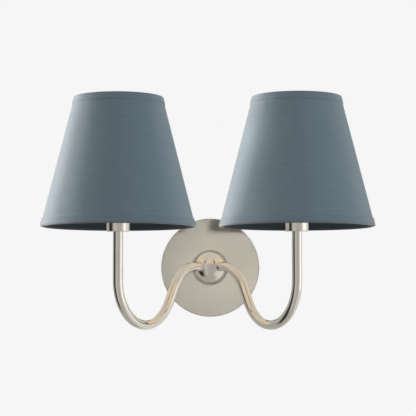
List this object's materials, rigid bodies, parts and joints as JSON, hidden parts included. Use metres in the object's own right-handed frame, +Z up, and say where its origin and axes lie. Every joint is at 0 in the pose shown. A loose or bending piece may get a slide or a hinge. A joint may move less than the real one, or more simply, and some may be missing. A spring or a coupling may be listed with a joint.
{
  "type": "double arm wall sconce",
  "caption": "Wall light with a round backplate, a ball hub, mirrored swan-neck arms and lift-off fabric empire shades over candle bulbs.",
  "frame": {"origin": "on the wall, at the centre of the backplate and of the two wall slots", "axes": "+X to the viewer's right, -Y out of the wall into the room, +Z up"},
  "size_m": [0.4292, 0.3069, 0.2997],
  "materials": {
    "polished_nickel": "polished nickel plating",
    "zinc_steel": "zinc plated, dull",
    "brass": "turned, bare",
    "white_plastic": "moulded",
    "earth_insulation": "soft insulation",
    "flex_sheath": "soft sheath",
    "phenolic": "moulded, semi-gloss",
    "black_glass": "fused, glossy",
    "nickel_cap": "thin sheet, bright",
    "frosted_glass": "frosted",
    "slate_fabric": "plain weave, stretched over a stiff backing",
    "shade_lining": "laminated paper-like lining",
    "slate_trim": "folded fabric tape",
    "white_wire": "powder coated wire"
  },
  "bodies": {
    "root": {"arm_left": "polished_nickel", "arm_right": "polished_nickel", "backplate": "polished_nickel", "block_screw": "zinc_steel", "centre_contact_left": "brass", "centre_contact_right": "brass", "cup_left": "polished_nickel", "cup_right": "polished_nickel", "earth_lead": "earth_insulation", "earth_screw": "brass", "flex_left": "flex_sheath", "flex_right": "flex_sheath", "holder_base_left": "zinc_steel", "holder_base_right": "zinc_steel", "holder_body_left": "phenolic", "holder_body_right": "phenolic", "hub_ball": "polished_nickel", "hub_stem": "zinc_steel", "neck_collar": "polished_nickel", "nipple_left": "zinc_steel", "nipple_right": "zinc_steel", "rim_screws": "polished_nickel", "ring_nut_left": "phenolic", "ring_nut_right": "phenolic", "screw_shell_left": "brass", "screw_shell_right": "brass", "shade_carrier_left": "zinc_steel", "shade_carrier_right": "zinc_steel", "stem_nut": "zinc_steel", "stem_washer": "zinc_steel", "terminal_barrels": "brass", "terminal_block": "white_plastic", "terminal_screws": "zinc_steel", "wall_bracket": "zinc_steel"},
    "shade_left": {"shade_cover_left": "slate_fabric", "shade_liner_left": "shade_lining", "shade_low_ring_left": "white_wire", "shade_top_ring_left": "white_wire", "shade_spider_left": "white_wire", "shade_low_trim_left": "slate_trim", "shade_top_trim_left": "slate_trim"},
    "bulb_advance_left": {"bulb_tip_left": "black_glass"},
    "bulb_left": {"bulb_cap_left": "nickel_cap", "bulb_glass_left": "frosted_glass"},
    "shade_right": {"shade_cover_right": "slate_fabric", "shade_liner_right": "shade_lining", "shade_low_ring_right": "white_wire", "shade_top_ring_right": "white_wire", "shade_spider_right": "white_wire", "shade_low_trim_right": "slate_trim", "shade_top_trim_right": "slate_trim"},
    "bulb_advance_right": {"bulb_tip_right": "black_glass"},
    "bulb_right": {"bulb_cap_right": "nickel_cap", "bulb_glass_right": "frosted_glass"}
  },
  "joints": [
    {"name": "shade_lift_left", "type": "slide", "parent": "root", "child": "shade_left", "axis": [0, 0, 1], "range_m": [0, 0.16]},
    {"name": "bulb_advance_left", "type": "slide", "parent": "root", "child": "bulb_advance_left", "axis": [0, 0, 1], "range_m": [0, 0.0142]},
    {"name": "bulb_turn_left", "type": "hinge", "parent": "bulb_advance_left", "child": "bulb_left", "pos_m": [-0.11452, -0.20688, 0.0919], "axis": [0, 0, 1], "range_deg": [0, 1800]},
    {"name": "shade_lift_right", "type": "slide", "parent": "root", "child": "shade_right", "axis": [0, 0, 1], "range_m": [0, 0.16]},
    {"name": "bulb_advance_right", "type": "slide", "parent": "root", "child": "bulb_advance_right", "axis": [0, 0, 1], "range_m": [0, 0.0142]},
    {"name": "bulb_turn_right", "type": "hinge", "parent": "bulb_advance_right", "child": "bulb_right", "pos_m": [0.11452, -0.20688, 0.0919], "axis": [0, 0, 1], "range_deg": [0, 1800]}
  ],
  "couplings": [
    {"joint": "bulb_advance_left", "follows": "bulb_turn_left", "m_per_rad": 0.00044882},
    {"joint": "bulb_advance_right", "follows": "bulb_turn_right", "m_per_rad": 0.00044882}
  ]
}
